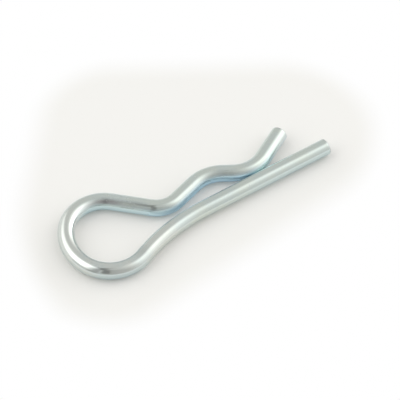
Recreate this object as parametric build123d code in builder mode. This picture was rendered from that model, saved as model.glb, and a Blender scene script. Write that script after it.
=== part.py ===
# Hitch R clip: one length of round spring wire, bent flat, lying on its side.
# X runs along the straight leg towards the free ends, Y across the clip, Z up from the floor.
# The origin is on the floor, at the middle of the clip's outline.

import os
from math import acos, atan2, cos, degrees, hypot, radians, sin

from build123d import *

# Wire
wire_diameter = 4.76
end_edge_radius = 0.45  # rounded rim of each cut end

# Straight leg, which goes through the cross hole of the pin that the clip secures
overall_length = 82.5  # back of the loop to the end of the straight leg

# Neck, the gentle bend that carries the straight leg out to the loop
neck_inside_radius = 54.0
neck_turn = 24.0

# Loop, three tangent bends round the eye, with a slightly flatter back
loop_lower_inside_radius = 8.9
loop_back_inside_radius = 11.7
loop_upper_inside_radius = 7.8
back_turn_before = 15.0  # turn of the back bend on the neck's side of the hindmost point
back_turn_after = 42.0  # and on the spring leg's side

# Spring leg: shoulder down to the waist, rise to the hump, fall to the throat, flared end.
# The gaps are clear distances above the straight leg's line.
shoulder_run = 11.5
waist_inside_radius = 5.1
waist_gap = 1.5
rise_run = 7.6
hump_inside_radius = 8.4
hump_gap = 4.6
fall_run = 2.7
throat_inside_radius = 7.9
throat_gap = 0.12
flare_turn = 29.2
flare_run = 10.4

# Centre line radii
wire_radius = wire_diameter / 2
neck_radius = neck_inside_radius + wire_radius
lower_radius = loop_lower_inside_radius + wire_radius
back_radius = loop_back_inside_radius + wire_radius
upper_radius = loop_upper_inside_radius + wire_radius
waist_radius = waist_inside_radius + wire_radius
hump_radius = hump_inside_radius + wire_radius
throat_radius = throat_inside_radius + wire_radius

# Reach of the neck and the loop from where the neck leaves the straight leg
neck_cos = cos(radians(neck_turn))
neck_sin = sin(radians(neck_turn))
before_cos = cos(radians(back_turn_before))
before_sin = sin(radians(back_turn_before))
after_sin = sin(radians(back_turn_after))
neck_depth = neck_radius * (1 - neck_cos)
loop_bottom = -neck_depth - lower_radius * (1 - neck_cos)
back_start = -neck_depth + lower_radius * (neck_cos - before_sin)
back_end = back_start + back_radius * (before_sin + after_sin)
loop_top = back_end + upper_radius * (1 - after_sin)
loop_reach = (
    neck_radius * neck_sin
    + lower_radius * (neck_sin + before_cos)
    + back_radius * (1 - before_cos)
    + wire_radius
)

# Place of the straight leg in the clip's frame
tip_x = overall_length / 2
neck_x = loop_reach - overall_length / 2
leg_y = -(loop_top + loop_bottom) / 2


def ramp_turn(climb, radius_sum, run):
    """Turn in degrees from a level crest to a level trough through a straight run."""
    reach = hypot(radius_sum, run)
    return degrees(acos((radius_sum - climb) / reach) - atan2(run, radius_sum))


shoulder_turn = ramp_turn(
    loop_top - wire_diameter - waist_gap, upper_radius + waist_radius, shoulder_run
)
rise_turn = ramp_turn(hump_gap - waist_gap, waist_radius + hump_radius, rise_run)
fall_turn = ramp_turn(hump_gap - throat_gap, hump_radius + throat_radius, fall_run)


def run_on(bend, length):
    """Straight run that goes on from the end of a bend."""
    return Line(bend @ 1, bend @ 1 + bend % 1 * length)


def bend_on(before, radius, turn):
    """Bend that goes on from the end of a run or bend, anticlockwise when positive."""
    return JernArc(before @ 1, before % 1, radius, turn)


with BuildPart() as clip_wire:
    with BuildLine() as centre_line:
        straight_leg = Line((tip_x, leg_y, wire_radius), (neck_x, leg_y, wire_radius))
        neck = bend_on(straight_leg, neck_radius, neck_turn)
        loop_lower = bend_on(neck, lower_radius, back_turn_before - neck_turn - 90)
        loop_back = bend_on(loop_lower, back_radius, -back_turn_before - back_turn_after)
        loop_upper = bend_on(loop_back, upper_radius, back_turn_after - 90 - shoulder_turn)
        shoulder = run_on(loop_upper, shoulder_run)
        waist = bend_on(shoulder, waist_radius, shoulder_turn + rise_turn)
        rise = run_on(waist, rise_run)
        hump = bend_on(rise, hump_radius, -rise_turn - fall_turn)
        fall = run_on(hump, fall_run)
        throat = bend_on(fall, throat_radius, fall_turn + flare_turn)
        flare = run_on(throat, flare_run)
    with BuildSketch(Plane(origin=straight_leg @ 0, z_dir=straight_leg % 0)):
        Circle(wire_radius)
    sweep()
    cut_ends = clip_wire.faces().filter_by(GeomType.PLANE)
    fillet(cut_ends.edges(), end_edge_radius)
clip_wire.part.label = "clip_wire"

os.makedirs("parts", exist_ok=True)
export_step(clip_wire.part, "parts/clip_wire.step")
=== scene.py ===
# Hitch R clip: one bent length of bright zinc spring wire, dressed on its CAD frame.
# Metres, X along the straight leg towards the free ends, Y across the clip, Z up from the floor.

from math import acos, atan2, cos, hypot, pi, radians, sin

import bmesh
import bpy
from mathutils import Matrix, Vector


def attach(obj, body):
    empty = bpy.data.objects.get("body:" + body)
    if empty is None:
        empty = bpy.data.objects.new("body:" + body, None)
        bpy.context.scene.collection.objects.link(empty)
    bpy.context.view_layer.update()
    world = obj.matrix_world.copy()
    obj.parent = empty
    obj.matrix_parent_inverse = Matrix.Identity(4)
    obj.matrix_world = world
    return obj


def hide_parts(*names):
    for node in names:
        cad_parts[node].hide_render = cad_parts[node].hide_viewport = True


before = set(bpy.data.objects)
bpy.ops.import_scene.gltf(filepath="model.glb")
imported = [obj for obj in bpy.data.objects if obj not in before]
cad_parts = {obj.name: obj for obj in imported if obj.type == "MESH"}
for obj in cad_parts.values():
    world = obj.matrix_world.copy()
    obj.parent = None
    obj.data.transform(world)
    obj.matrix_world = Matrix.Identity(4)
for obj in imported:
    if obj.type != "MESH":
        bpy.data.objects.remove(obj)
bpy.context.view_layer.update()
print("frame loaded:", sorted(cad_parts))

mm = 0.001


# Node maths: a Value is a socket, and sums on it add Math nodes
class Value:
    def __init__(self, sheet, socket):
        self.sheet = sheet
        self.socket = socket

    def math(self, operation, first, second=0.0):
        return self.sheet.add("ShaderNodeMath", {"operation": operation}, {0: first, 1: second})

    def __add__(self, other):
        return self.math("ADD", self, other)

    def __sub__(self, other):
        return self.math("SUBTRACT", self, other)

    def __rsub__(self, other):
        return self.math("SUBTRACT", other, self)

    def __mul__(self, other):
        return self.math("MULTIPLY", self, other)

    def __truediv__(self, other):
        return self.math("DIVIDE", self, other)

    def __pow__(self, other):
        return self.math("POWER", self, other)

    __radd__ = __add__
    __rmul__ = __mul__

    # soft step from 0 at low to 1 at high
    def step(self, low, high):
        ends = {"Value": self, "From Min": low, "From Max": high}
        return self.sheet.add("ShaderNodeMapRange", {"interpolation_type": "SMOOTHSTEP"}, ends)

    # 1 between low and high, 0 outside, with soft flanks
    def between(self, low, high, soft):
        rise = self.step(low - soft, low + soft)
        return rise * (1 - self.step(high - soft, high + soft))


class Sheet:
    def __init__(self, tree):
        self.tree = tree
        self.tree.nodes.clear()

    # one node: settings first, then values or links of its sockets
    def add(self, kind, settings=None, sockets=None, output=0):
        node = self.tree.nodes.new(kind)
        for name, value in (settings or {}).items():
            setattr(node, name, value)
        for name, value in (sockets or {}).items():
            if isinstance(value, Value):
                self.tree.links.new(value.socket, node.inputs[name])
            else:
                node.inputs[name].default_value = value
        if not node.outputs:
            return None
        return Value(self, node.outputs[output])

    # blend of two colours by a mask; sockets 6 and 7 and output 2 are the colour ones
    def mix(self, mask, first, second):
        sockets = {0: mask, 6: first, 7: second}
        return self.add("ShaderNodeMix", {"data_type": "RGBA"}, sockets, 2)

    # the three parts of a vector
    def parts(self, vector):
        split = self.add("ShaderNodeSeparateXYZ", {}, {"Vector": vector})
        return [Value(self, output) for output in split.socket.node.outputs]

    # noise on a vector that is stretched first
    def noise(self, vector, stretch, detail):
        stretched = self.add("ShaderNodeMapping", {}, {"Vector": vector, "Scale": stretch})
        sockets = {"Vector": stretched, "Scale": 1.0, "Detail": detail}
        return self.add("ShaderNodeTexNoise", {}, sockets)


def rgb(red, green, blue):
    return (red, green, blue, 1.0)


white = rgb(1, 1, 1)


# The wire, bent from its straight end to its flared end
clipSizes = {
    "wireDiameter": 4.76 * mm,
    "rimRadius": 0.45 * mm,  # rounded rim of each cut end
    "overallLength": 82.5 * mm,
    "neckRadius": 54.0 * mm,  # inside radii
    "neckTurn": 24.0,
    "loopLowerRadius": 8.9 * mm,
    "loopBackRadius": 11.7 * mm,
    "loopUpperRadius": 7.8 * mm,
    "backTurnBefore": 15.0,
    "backTurnAfter": 42.0,
    "shoulderRun": 11.5 * mm,
    "waistRadius": 5.1 * mm,
    "waistGap": 1.5 * mm,
    "riseRun": 7.6 * mm,
    "humpRadius": 8.4 * mm,
    "humpGap": 4.6 * mm,
    "fallRun": 2.7 * mm,
    "throatRadius": 7.9 * mm,
    "throatGap": 0.12 * mm,
    "flareTurn": 29.2,
    "flareRun": 10.4 * mm,
    "sidesRound": 72,  # facets round the wire
    "degreesPerStep": 2.5,
    "runStep": 3.0 * mm,
    "rimSteps": 5,
    "endStub": 0.6 * mm,  # short last run at each end, so the rims shade crisply
    "cutDish": 0.06 * mm,  # hollow of the sheared end
    # inset rings of the sheared end: share of the hollow, width
    "cutRings": ((0.0, 0.05 * mm), (0.3, 0.5 * mm), (0.7, 0.7 * mm)),
    "mergeDistance": 0.001 * mm,
    "endReach": 1.05,  # how far a trimmed end reaches into the wire, in rim radii
}


# turn from a level crest to a level trough through a straight run
def rampTurn(climb, radiusSum, run):
    reach = hypot(radiusSum, run)
    return acos((radiusSum - climb) / reach) - atan2(run, radiusSum)


# the bend table: ("run", length) or ("bend", centre line radius, turn)
def bendTable(s):
    half = s["wireDiameter"] / 2
    neck = s["neckRadius"] + half
    lower = s["loopLowerRadius"] + half
    back = s["loopBackRadius"] + half
    upper = s["loopUpperRadius"] + half
    waist = s["waistRadius"] + half
    hump = s["humpRadius"] + half
    throat = s["throatRadius"] + half
    neckTurn = radians(s["neckTurn"])
    before = radians(s["backTurnBefore"])
    after = radians(s["backTurnAfter"])
    neckDepth = neck * (1 - cos(neckTurn))
    loopBottom = -neckDepth - lower * (1 - cos(neckTurn))
    backStart = -neckDepth + lower * (cos(neckTurn) - sin(before))
    backEnd = backStart + back * (sin(before) + sin(after))
    loopTop = backEnd + upper * (1 - sin(after))
    loopReach = neck * sin(neckTurn) + lower * (sin(neckTurn) + cos(before))
    loopReach += back * (1 - cos(before)) + half
    shoulderDrop = loopTop - s["wireDiameter"] - s["waistGap"]
    shoulderTurn = rampTurn(shoulderDrop, upper + waist, s["shoulderRun"])
    riseTurn = rampTurn(s["humpGap"] - s["waistGap"], waist + hump, s["riseRun"])
    fallTurn = rampTurn(s["humpGap"] - s["throatGap"], hump + throat, s["fallRun"])
    start = Vector((s["overallLength"] / 2, -(loopTop + loopBottom) / 2, half))
    table = [
        ("run", s["endStub"]),
        ("run", s["overallLength"] - loopReach - s["endStub"]),
        ("bend", neck, neckTurn),
        ("bend", lower, before - neckTurn - pi / 2),
        ("bend", back, -before - after),
        ("bend", upper, after - pi / 2 - shoulderTurn),
        ("run", s["shoulderRun"]),
        ("bend", waist, shoulderTurn + riseTurn),
        ("run", s["riseRun"]),
        ("bend", hump, -riseTurn - fallTurn),
        ("run", s["fallRun"]),
        ("bend", throat, fallTurn + radians(s["flareTurn"])),
        ("run", s["flareRun"] - s["endStub"]),
        ("run", s["endStub"]),
    ]
    return start, table


# sweeps a ring of the wire through the bend table, and keeps each point's place in the
# straight wire: across towards the loop's eye, up and along
def bendClipWire(s):
    start, table = bendTable(s)
    bm = bmesh.new()
    unbent = bm.verts.layers.float_vector.new("unbentWire")
    standUp = Matrix.Translation(start) @ Matrix.Rotation(pi / 2, 4, "Y")
    radius = s["wireDiameter"] / 2
    bmesh.ops.create_circle(bm, segments=s["sidesRound"], radius=radius, matrix=standUp)
    for vert in bm.verts:
        vert[unbent] = Vector((vert.co.y - start.y, vert.co.z - start.z, 0.0))
    ring = bm.edges[:]
    point = start.copy()
    heading = Vector((-1, 0, 0))
    travelled = 0.0
    straightEnd = {"ring": ring, "middle": start, "heading": heading, "along": travelled}
    for row in table:
        if row[0] == "run":
            length = row[1]
            steps = max(1, round(length / s["runStep"]))
            stride = heading * length / steps
            spinSettings = {"cent": point, "dvec": stride, "axis": (0, 0, 1), "angle": 0.0}
            point = point + heading * length
        else:
            bendRadius, turn = row[1], row[2]
            length = bendRadius * abs(turn)
            side = 1 if turn > 0 else -1
            centre = point + Vector((-heading.y, heading.x, 0)) * bendRadius * side
            steps = max(2, round(abs(turn) / radians(s["degreesPerStep"])))
            spinSettings = {"cent": centre, "axis": (0, 0, 1), "angle": turn / steps}
            swing = Matrix.Rotation(turn, 3, "Z")
            point = centre + swing @ (point - centre)
            heading = swing @ heading
        for _ in range(steps):
            made = bmesh.ops.spin(bm, geom=ring, steps=1, **spinSettings)["geom_last"]
            ring = [g for g in made if isinstance(g, bmesh.types.BMEdge)]
            travelled += length / steps
            for vert in {v for edge in ring for v in edge.verts}:
                vert[unbent] = Vector((vert[unbent].x, vert[unbent].y, travelled))
    flaredEnd = {"ring": ring, "middle": point, "heading": heading, "along": travelled}
    return bm, travelled, (straightEnd, flaredEnd)


# closes the ends as sheared faces with rounded rims and a shallow hollow
def trimCutEnds(bm, ends, s):
    caps = []
    for end in ends:
        caps += bmesh.ops.edgeloop_fill(bm, edges=end["ring"])["faces"]
    bmesh.ops.recalc_face_normals(bm, faces=bm.faces[:])
    rims = [edge for face in caps for edge in face.edges]
    bmesh.ops.bevel(
        bm,
        geom=rims,
        offset=s["rimRadius"],
        offset_type="OFFSET",
        affect="EDGES",
        segments=s["rimSteps"],
        profile=0.5,
        material=-1,
    )
    caps = [face for face in bm.faces if len(face.verts) == s["sidesRound"]]
    for hollow, width in s["cutRings"]:
        depth = -hollow * s["cutDish"]
        bmesh.ops.inset_individual(bm, faces=caps, thickness=width, depth=depth, use_even_offset=True)
    bmesh.ops.poke(bm, faces=caps, offset=0.0)
    # the points of the trimmed ends get their places in the straight wire anew
    unbent = bm.verts.layers.float_vector["unbentWire"]
    for end in ends:
        heading = end["heading"]
        towardsEye = Vector((heading.y, -heading.x, 0))
        for vert in bm.verts:
            reach = vert.co - end["middle"]
            into = reach.dot(heading)
            if reach.length < s["wireDiameter"] and abs(into) < s["endReach"] * s["rimRadius"]:
                vert[unbent] = Vector((reach.dot(towardsEye), reach.z, end["along"] + into))
    return len(caps)


def buildClip(s):
    bm, length, ends = bendClipWire(s)
    count = trimCutEnds(bm, ends, s)
    bmesh.ops.remove_doubles(bm, verts=bm.verts[:], dist=s["mergeDistance"])
    bmesh.ops.recalc_face_normals(bm, faces=bm.faces[:])
    for face in bm.faces:
        face.smooth = True
    mesh = bpy.data.meshes.new("clipWire")
    bm.to_mesh(mesh)
    bm.free()
    piece = bpy.data.objects.new("clipWire", mesh)
    bpy.context.scene.collection.objects.link(piece)
    print("wire bent, mm long:", round(length / mm, 2))
    print("cut ends:", count, "faces:", len(mesh.polygons))
    return piece, length


# Bright zinc with a faint blue passivation; the deeper blue low down and between the legs is a painted
# reflection of the legs and the shaded floor, and the lighter and darker patches are painted highlights
# and shade
zincLook = {
    "silver": rgb(0.655, 0.712, 0.658),
    "cool": rgb(0.625, 0.70, 0.685),  # clouds
    "warm": rgb(0.68, 0.71, 0.665),  # loop
    "paintedHighlight": rgb(0.82, 0.86, 0.83),  # painted highlight on the top of the loop and the side of the shoulder
    "innerPaintedLight": rgb(0.82, 0.825, 0.80),  # painted lighter reflection on the inner side of the leg and the loop's back
    "lipCyanReflection": rgb(0.605, 0.75, 0.785),  # inner side of the spring leg: blue passivation with a painted reflection of the shaded floor
    "gapBlueReflection": rgb(0.515, 0.725, 0.86),  # painted blue reflection of the straight leg and the shaded floor, where the spring leg faces the straight leg
    # painted light: a pale reflection that brightens the crevice of the throat
    "throatPaintedLight": rgb(0.80, 0.97, 0.98),
    "legCyanReflection": rgb(0.62, 0.72, 0.72),  # outer side of the straight leg: blue passivation with a painted reflection of the floor
    "loopBottomCyanReflection": rgb(0.555, 0.64, 0.645),  # outer side of the loop's bottom: blue passivation, darkened by a painted reflection of the shaded floor
    "crownDarkReflection": rgb(0.50, 0.555, 0.54),  # painted dark reflection on the crowns of the shoulder and the hump and at the end of the neck
    "darkReflectionTint": rgb(0.43, 0.41, 0.415),  # painted dark reflection where the shoulder begins
    "flarePaleReflection": rgb(0.74, 0.80, 0.815),  # painted pale reflection on the inner side of the flare
    "cutGrey": rgb(0.50, 0.53, 0.53),  # sheared half of an end face
    "tornGrey": rgb(0.36, 0.385, 0.39),  # broken half
    # painted shade on the rounded rims of the cut ends, dimming their glint
    "rimPaintedShade": rgb(0.43, 0.46, 0.455),
    "edgeTint": rgb(0.90, 0.95, 1.0),
    "roughLow": 0.14,
    "roughHigh": 0.24,
    "cutRough": 0.34,
    "tornRough": 0.5,
    "bumpStrength": 0.06,
    "bumpDistance": 0.02 * mm,
    # places along the wire, as shares of its length: from, to, softness
    "along": {
        "legInner": (0.14, 0.36, 0.04),
        "loop": (0.28, 0.6, 0.05),
        "neckEnd": (0.363, 0.383, 0.012),
        "loopBottom": (0.385, 0.455, 0.02),
        "backInner": (0.54, 0.59, 0.015),
        "loopTop": (0.575, 0.622, 0.015),
        "lip": (0.59, 0.945, 0.03),
        # painted dark reflection where the shoulder begins
        "darkReflection": (0.63, 0.671, 0.013),
        "shoulder": (0.645, 0.705, 0.025),
        "waist": (0.725, 0.765, 0.012),
        "gap": (0.735, 0.945, 0.045),
        "hump": (0.822, 0.875, 0.02),
        "throat": (0.91, 0.935, 0.015),
    },
    # places round the wire, in wire radii towards the loop's eye: from, to, softness
    "round": {
        "shoulderCrown": (0.15, 0.45, 0.15),
        "humpCrown": (0.25, 0.9, 0.12),
        # the same painted dark reflection, round the wire
        "darkReflection": (0.45, 0.79, 0.14),
        "shoulderSide": (0.8, 0.92, 0.07),
    },
    # soft steps from 0 at the first value to 1 at the second
    "steps": {
        "highSide": (0.15, 0.85),  # wire radii above the wire's middle
        "upperHalf": (0.0, 0.3),
        "shoulderTop": (0.2, 0.5),
        "neckTop": (0.3, 0.6),
        "aboveOutside": (0.25, 0.6),
        "innerSide": (-0.3, 0.5),  # wire radii towards the loop's eye
        "facingIn": (0.45, 0.75),
        "loopTopIn": (0.3, 0.6),
        "pastOutside": (-0.6, -0.2),
        "pastLegTip": (0.1, 0.2),  # shares of the wire's length
        "flare": (0.94, 0.97),
        "pastCut": (0.76, 0.88),  # wire radii from the middle of an end face
        "pastRim": (0.4, 1.1),  # rim radii from an end
        "cloud": (0.42, 0.66),  # levels of noise
        "haze": (0.35, 0.7),
        "pits": (0.68, 0.76),
        "shearLines": (0.3, 0.7),
        "sheared": (-0.2, 0.1),  # wire radii above the wire's middle, frayed by the grit
    },
    # grains: waves per metre on three axes, detail
    "grain": {
        "lines": ((9000.0, 9000.0, 60.0), 3.0),
        "haze": ((330.0, 330.0, 80.0), 4.0),
        "cloud": ((170.0, 170.0, 170.0), 4.0),
        "speck": ((3200.0, 3200.0, 3200.0), 2.0),
        "pits": ((1500.0, 1500.0, 1500.0), 1.0),
        "shearLines": ((12000.0, 900.0, 1.0), 2.0),
        "grit": ((1700.0, 1700.0, 1700.0), 5.0),
    },
    "grainMiddle": 0.5,  # mean level of a grain
    # how strongly a colour covers
    "cover": {
        "cloud": 0.6,
        "neckEnd": 0.45,
        "shoulderSide": 0.45,
        "humpCrown": 0.42,
        # strength of the painted dark reflection, and of its streaks from the haze
        "darkReflection": 0.36,
        "darkReflectionHaze": 0.6,
        "pits": 0.2,
        "shearLines": 0.4,
        "rim": 0.9,
    },
    # roughness added
    "added": {
        "speck": 0.05,
        "lines": 0.06,
        "pits": 0.08,
        "gap": 0.18,
        "shoulder": 0.05,
        "legInner": 0.25,
        "waist": 0.2,
        "rim": 0.2,
    },
    "fray": 1.2,  # grit in the line between sheared and broken
    # heights of the grains in the bump
    "relief": {
        "lines": 0.6,
        "speck": 0.4,
        "shearLines": 5.0,
        "grit": 18.0,
    },
}


def zincFinish(look, s, length):
    finish = bpy.data.materials.new("zincWire")
    finish.use_nodes = True
    sheet = Sheet(finish.node_tree)
    places = look["along"]
    sides = look["round"]
    steps = look["steps"]
    grain = look["grain"]
    middle = look["grainMiddle"]
    cover = look["cover"]
    added = look["added"]
    relief = look["relief"]
    half = s["wireDiameter"] / 2
    here = sheet.add("ShaderNodeTexCoord", output="Object")
    unbent = sheet.add("ShaderNodeAttribute", {"attribute_name": "unbentWire"}, output="Vector")
    eyeward, upward, along = sheet.parts(unbent)
    towardsEye = eyeward / half
    up = upward / half
    share = along / length
    reach = (towardsEye * towardsEye + up * up) ** 0.5
    cut = 1 - reach.step(*steps["pastCut"])
    toEnd = along.math("MINIMUM", along, length - along) / s["rimRadius"]
    rim = (1 - toEnd.step(*steps["pastRim"])) * (1 - cut)

    # drawn lines and long hazes run along the wire, clouds and specks lie over it
    lines = sheet.noise(unbent, *grain["lines"])
    haze = sheet.noise(unbent, *grain["haze"])
    cloud = sheet.noise(here, *grain["cloud"])
    speck = sheet.noise(here, *grain["speck"])
    pits = sheet.noise(here, *grain["pits"]).step(*steps["pits"])

    # sides and stretches of the wire
    upperHalf = up.step(*steps["upperHalf"])
    facingIn = towardsEye.step(*steps["facingIn"])
    inside = (1 - up.step(*steps["highSide"])) * towardsEye.step(*steps["innerSide"])
    outside = (1 - up.step(*steps["aboveOutside"])) * (1 - towardsEye.step(*steps["pastOutside"]))
    legTip = outside * (1 - share.step(*steps["pastLegTip"]))
    # inner sides of the leg and the loop's back, which take a painted lighter reflection
    legInner = share.between(*places["legInner"]) * facingIn
    # painted dark reflection at the end of the neck
    neckEnd = cover["neckEnd"] * share.between(*places["neckEnd"]) * up.step(*steps["neckTop"])
    loopBottom = outside * share.between(*places["loopBottom"])
    backInner = share.between(*places["backInner"]) * facingIn
    # inner side of the loop's top, which takes a painted highlight
    loopTop = share.between(*places["loopTop"]) * towardsEye.step(*steps["loopTopIn"])
    # painted dark reflection where the shoulder begins, streaked by the haze
    darkReflection = share.between(*places["darkReflection"]) * towardsEye.between(*sides["darkReflection"]) * upperHalf
    darkReflection = darkReflection * (cover["darkReflection"] + cover["darkReflectionHaze"] * haze)
    shoulder = share.between(*places["shoulder"])
    # painted highlight on the shoulder's side; painted dark reflection on the crowns of the shoulder
    # and the hump
    shoulderSide = cover["shoulderSide"] * shoulder * towardsEye.between(*sides["shoulderSide"])
    shoulderCrown = shoulder * towardsEye.between(*sides["shoulderCrown"])
    hump = share.between(*places["hump"])
    humpCrown = cover["humpCrown"] * hump * towardsEye.between(*sides["humpCrown"])
    # inner side facing the straight leg, where the painted blue reflection lies
    gapSide = inside * share.between(*places["gap"])

    # zinc colours and painted highlights, shade and reflections, each laid over those before it
    coats = (
        (share.between(*places["loop"]), "warm"),
        (cover["cloud"] * cloud.step(*steps["cloud"]), "cool"),
        (legTip, "legCyanReflection"),
        (loopBottom, "loopBottomCyanReflection"),
        (legInner + backInner, "innerPaintedLight"),
        (loopTop, "paintedHighlight"),
        (inside * share.between(*places["lip"]), "lipCyanReflection"),
        (gapSide, "gapBlueReflection"),
        (inside * share.between(*places["throat"]), "throatPaintedLight"),
        (inside * share.step(*steps["flare"]), "flarePaleReflection"),
        (neckEnd, "crownDarkReflection"),
        (shoulderSide, "paintedHighlight"),
        ((shoulderCrown + humpCrown) * upperHalf, "crownDarkReflection"),
        (darkReflection, "darkReflectionTint"),
        (pits * cover["pits"], "cutGrey"),
        # painted shade that dims the rims' glint
        (rim * cover["rim"], "rimPaintedShade"),
    )
    tint = look["silver"]
    for mask, colour in coats:
        tint = sheet.mix(mask, tint, look[colour])
    rough = look["roughLow"] + (look["roughHigh"] - look["roughLow"]) * haze.step(*steps["haze"])
    rough = rough + added["speck"] * (speck - middle) + added["lines"] * (lines - middle)
    rough = rough + added["pits"] * pits + added["gap"] * gapSide
    rough = rough + added["shoulder"] * shoulder * up.step(*steps["shoulderTop"])
    rough = rough + added["legInner"] * legInner
    rough = rough + added["waist"] * share.between(*places["waist"]) * inside

    # end faces: sheared smooth above, broken below
    shearLines = sheet.noise(unbent, *grain["shearLines"])
    grit = sheet.noise(here, *grain["grit"])
    torn = 1 - (up + look["fray"] * (grit - middle)).step(*steps["sheared"])
    shine = shearLines.step(*steps["shearLines"]) * cover["shearLines"]
    cutTint = sheet.mix(shine, look["cutGrey"], look["silver"])
    cutTint = sheet.mix(torn, cutTint, look["tornGrey"])
    cutRough = look["cutRough"] + (look["tornRough"] - look["cutRough"]) * torn
    tint = sheet.mix(cut, tint, cutTint)
    rough = rough + rim * added["rim"] + cut * (cutRough - rough)

    height = (lines * relief["lines"] + speck * relief["speck"] - pits) * (1 - cut)
    height = height + cut * (shearLines * relief["shearLines"] + torn * grit * relief["grit"])
    bumpSockets = {"Height": height, "Strength": look["bumpStrength"], "Distance": look["bumpDistance"]}
    bump = sheet.add("ShaderNodeBump", {}, bumpSockets)
    shader = sheet.add(
        "ShaderNodeBsdfPrincipled",
        {},
        {
            "Base Color": tint,
            "Metallic": 1.0,
            "Roughness": rough,
            "Specular Tint": look["edgeTint"],
            "Normal": bump,
        },
    )
    sheet.add("ShaderNodeOutputMaterial", {}, {"Surface": shader})
    print("zinc finish laid:", len(coats), "coats")
    return finish


# Where the photograph was taken from
photoView = {
    "turn": 32.77,  # clip's turn against the picture
    "elevation": 52.16,
    "distance": 736.0 * mm,
    "target": Vector((1.588, -1.806, 0.0)) * mm,
    "lens": 236.1,
    "sensor": 36.0,
    "nearest": 0.01,
    "farthest": 20.0,
}


# a direction by azimuth clockwise from straight away, and elevation, in the picture's frame
def photoDirection(azimuth, elevation):
    turned = radians(azimuth + photoView["turn"])
    level = cos(radians(elevation))
    return Vector((sin(turned) * level, cos(turned) * level, sin(radians(elevation))))


def placeCamera(v):
    data = bpy.data.cameras.new("photoCamera")
    data.lens = v["lens"]
    data.sensor_width = v["sensor"]
    data.clip_start = v["nearest"]
    data.clip_end = v["farthest"]
    camera = bpy.data.objects.new("photoCamera", data)
    back = photoDirection(180.0, v["elevation"])
    camera.location = v["target"] + back * v["distance"]
    camera.rotation_euler = (-back).to_track_quat("-Z", "Y").to_euler()
    bpy.context.scene.collection.objects.link(camera)
    bpy.context.scene.camera = camera
    print("camera placed")


# Studio: soft boxes left and right, grey behind, a dark strip beside the camera.
# Each panel: azimuth from and to, elevation from and to, softness across and upright, level
studio = {
    "surround": 0.704,
    "panels": {
        "overhead": (-200.0, 200.0, 73.4, 200.0, 5.0, 3.3, 0.67),
        "overheadLeft": (-167.9, -112.9, 55.1, 200.0, 9.6, 2.1, 0.25),
        "frontRight": (102.1, 150.9, -10.0, 44.0, 6.1, 5.9, 0.58),
        "frontLeft": (-156.4, -135.0, -10.0, 62.4, 1.5, 1.5, 0.46),
        "leftFade": (-102.2, -32.4, 13.6, 54.2, 1.5, 23.1, 1.39),
        "rightFade": (62.2, 117.9, -0.9, 70.5, 32.2, 19.1, 1.19),
        "leftBox": (-132.0, -53.8, 23.0, 72.8, 17.3, 3.8, 1.73),
        "rightBox": (35.0, 76.7, -12.0, 41.0, 18.6, 1.5, 2.12),
        "rightBoxTop": (42.9, 99.6, 40.3, 60.7, 26.6, 26.8, 1.82),
        "leftOfCamera": (-200.0, -162.6, 10.7, 67.0, 1.5, 12.7, 0.26),
        "rightOfCamera": (150.1, 200.0, -10.0, 62.2, 18.6, 5.5, 0.54),
    },
}


def lightStudio(s):
    world = bpy.data.worlds.new("studio")
    bpy.context.scene.world = world
    world.use_nodes = True
    sheet = Sheet(world.node_tree)
    direction = sheet.add("ShaderNodeTexCoord", output="Generated")
    turn = (0.0, 0.0, radians(photoView["turn"]))
    turnSockets = {"Vector": direction, "Rotation": turn}
    turned = sheet.add("ShaderNodeMapping", {"vector_type": "POINT"}, turnSockets)
    across, away, up = sheet.parts(turned)
    perRadian = 180 / pi
    azimuth = across.math("ARCTAN2", across, away) * perRadian
    elevation = up.math("ARCSINE", up) * perRadian
    level = s["surround"]
    for first, last, low, high, softAcross, softUp, panelLevel in s["panels"].values():
        inside = azimuth.between(first, last, softAcross) * elevation.between(low, high, softUp)
        level = level * (1 - inside) + panelLevel * inside
    light = sheet.add("ShaderNodeBackground", {}, {"Color": white, "Strength": level})
    sheet.add("ShaderNodeOutputWorld", {}, {"Surface": light})
    print("studio lit:", len(s["panels"]), "panels")


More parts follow.
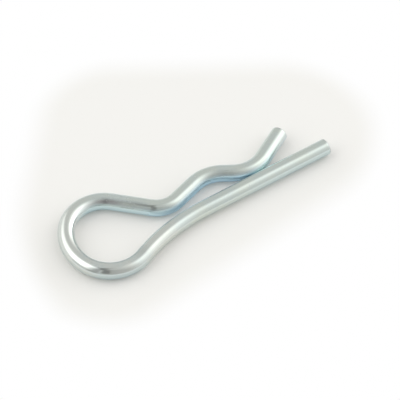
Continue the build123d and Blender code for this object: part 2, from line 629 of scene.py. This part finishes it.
# A pale floor that keeps the clip's shadow
floorLook = {
    "size": 6.0,
    "pale": rgb(0.908, 0.90, 0.867),
    "glow": 0.1,  # share of the floor's own light, which softens the shadows
    # the floor pales to white past soft edges: direction that an edge faces, its distance
    "paleEdges": (
        (140.1, 46.5 * mm),
        (58.7, 48.3 * mm),
        (-12.2, 58.3 * mm),
        (-84.5, 24.0 * mm),
        (-165.6, 52.3 * mm),
    ),
    "cornerRadius": 17.9 * mm,
    "fade": 0.32,  # half width of the fade, as a share of the corner radius
}


def layFloor(look):
    bm = bmesh.new()
    bmesh.ops.create_grid(bm, x_segments=1, y_segments=1, size=look["size"] / 2)
    mesh = bpy.data.meshes.new("paleFloor")
    bm.to_mesh(mesh)
    bm.free()
    floor = bpy.data.objects.new("paleFloor", mesh)
    bpy.context.scene.collection.objects.link(floor)
    finish = bpy.data.materials.new("paleFloor")
    finish.use_nodes = True
    sheet = Sheet(finish.node_tree)
    x, y, _ = sheet.parts(sheet.add("ShaderNodeTexCoord", output="Object"))
    beyond = 0.0
    for facing, distance in look["paleEdges"]:
        out = x * cos(radians(facing)) + y * sin(radians(facing))
        past = (out - distance) / look["cornerRadius"] + 1
        past = past.math("MAXIMUM", past, 0.0)
        beyond = beyond + past * past
    fade = (beyond ** 0.5).step(1 - look["fade"], 1 + look["fade"])
    matt = sheet.add("ShaderNodeBsdfDiffuse", {}, {"Color": look["pale"]})
    glow = sheet.add("ShaderNodeEmission", {}, {"Color": look["pale"]})
    plainWhite = sheet.add("ShaderNodeEmission", {}, {"Color": white})
    inner = sheet.add("ShaderNodeMixShader", {}, {0: look["glow"], 1: matt, 2: glow})
    both = sheet.add("ShaderNodeMixShader", {}, {0: fade, 1: inner, 2: plainWhite})
    sheet.add("ShaderNodeOutputMaterial", {}, {"Surface": both})
    mesh.materials.append(finish)
    print("floor laid")


clip, wireLength = buildClip(clipSizes)
clip.data.materials.append(zincFinish(zincLook, clipSizes, wireLength))
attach(clip, "root")
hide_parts("clip_wire")
placeCamera(photoView)
lightStudio(studio)
layFloor(floorLook)
bpy.context.scene.view_settings.view_transform = "Standard"
print("scene set")
